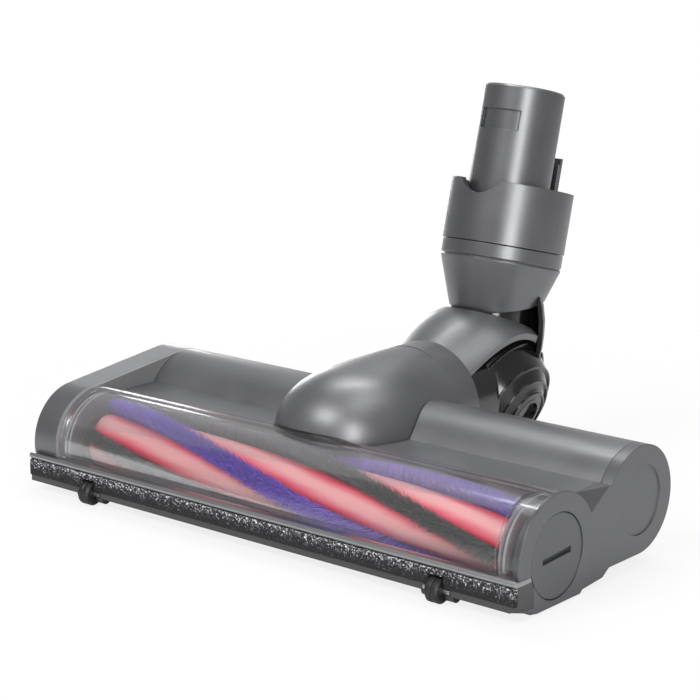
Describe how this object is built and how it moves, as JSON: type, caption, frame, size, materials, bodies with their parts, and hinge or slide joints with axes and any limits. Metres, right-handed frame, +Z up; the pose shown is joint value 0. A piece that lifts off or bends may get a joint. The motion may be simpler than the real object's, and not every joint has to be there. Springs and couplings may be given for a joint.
{
  "type": "vacuum turbo brush",
  "caption": "Belt-driven vacuum floor head with a clear brush window, motor barrel, air cowl and a tilting, swivelling neck",
  "frame": {"origin": "middle of the footprint, on the floor", "axes": "X along the brush bar, Y backwards, Z up"},
  "size_m": [0.211, 0.168, 0.1402],
  "materials": {
    "body_grey": "satin moulded plastic with a fine metallic fleck",
    "joint_black": "smooth dark moulding",
    "inner_black": "plain moulded plastic",
    "clear_smoke": "clear smoked plastic, polished",
    "rubber_black": "smooth glossy rubber",
    "tread_black": "soft matt rubber",
    "flock_black": "flocked strip",
    "felt_grey": "felt",
    "core_pink": "coloured moulded bar",
    "nylon_violet": "stiff nylon bristles",
    "carbon_black": "fine soft filaments",
    "steel": "turned steel",
    "zinc": "plated steel sheet",
    "bronze": "sintered bronze",
    "belt_rubber": "smooth belt",
    "magnet": "ground ferrite",
    "copper": "wound copper over laminations",
    "board_green": "coated circuit board",
    "contact_brass": "plated blades"
  },
  "bodies": {
    "head": {"main_housing": "body_grey", "right_end_plate": "body_grey", "left_cheek": "body_grey", "belt_plate": "body_grey", "window": "clear_smoke", "front_lip": "body_grey", "flocked_strip": "flock_black", "sole_plate": "inner_black", "sole_felt": "felt_grey", "cover_screws": "zinc", "cowl": "body_grey", "swivel_ring": "inner_black", "motor_can": "zinc", "motor_end_bell": "inner_black", "motor_magnets": "magnet", "motor_cradle": "inner_black", "drive_belt": "belt_rubber", "control_board": "board_green", "brush_bearing": "bronze", "front_axles": "steel", "rear_axles": "steel"},
    "brush": {"brush_core": "core_pink", "nylon_row_front": "nylon_violet", "carbon_row_top": "carbon_black", "nylon_row_back": "nylon_violet", "carbon_row_rear": "carbon_black", "carbon_row_low": "carbon_black", "brush_hub": "inner_black", "brush_end_pin": "steel"},
    "rotor": {"motor_rotor": "copper", "motor_pulley": "bronze"},
    "cap": {"end_cap": "body_grey", "cap_bush": "bronze"},
    "elbow_body": {"elbow": "body_grey", "snap_ring": "inner_black", "pivot_pins": "steel", "flex_boot": "rubber_black"},
    "neck": {"neck_cone": "body_grey", "neck_shield": "joint_black", "neck_collar": "body_grey", "spigot": "body_grey", "connector_shroud": "body_grey", "contact_pins": "contact_brass"},
    "front_left": {"front_roller_left": "tread_black"},
    "front_right": {"front_roller_right": "tread_black"},
    "rear_left": {"rear_wheel_left": "tread_black"},
    "rear_right": {"rear_wheel_right": "tread_black"}
  },
  "joints": [
    {"name": "brush_spin", "type": "hinge", "parent": "head", "child": "brush", "pos_m": [0, -0.05916, 0.016], "axis": [1, 0, 0], "continuous": true},
    {"name": "motor_spin", "type": "hinge", "parent": "head", "child": "rotor", "pos_m": [-0.066, -0.01346, 0.0226], "axis": [1, 0, 0], "continuous": true},
    {"name": "cap_turn", "type": "hinge", "parent": "head", "child": "cap", "pos_m": [0.103, -0.05916, 0.016], "axis": [1, 0, 0], "range_deg": [0, 90]},
    {"name": "elbow_swivel", "type": "hinge", "parent": "head", "child": "elbow_body", "pos_m": [0, 0.00234, 0.0306], "axis": [0, 1, 0], "range_deg": [-90, 90]},
    {"name": "neck_tilt", "type": "hinge", "parent": "elbow_body", "child": "neck", "pos_m": [0, 0.04564, 0.0306], "axis": [-1, 0, 0], "range_deg": [-4, 72], "deforming": ["flex_boot"]},
    {"name": "front_left_roll", "type": "hinge", "parent": "head", "child": "front_left", "pos_m": [-0.076, -0.07976, 0.0042], "axis": [1, 0, 0], "continuous": true},
    {"name": "front_right_roll", "type": "hinge", "parent": "head", "child": "front_right", "pos_m": [0.076, -0.07976, 0.0042], "axis": [1, 0, 0], "continuous": true},
    {"name": "rear_left_roll", "type": "hinge", "parent": "head", "child": "rear_left", "pos_m": [-0.038, -0.00316, 0.0062], "axis": [1, 0, 0], "continuous": true},
    {"name": "rear_right_roll", "type": "hinge", "parent": "head", "child": "rear_right", "pos_m": [0.038, -0.00316, 0.0062], "axis": [1, 0, 0], "continuous": true}
  ],
  "couplings": [
    {"joint": "motor_spin", "follows": "brush_spin", "ratio": 1.8}
  ]
}
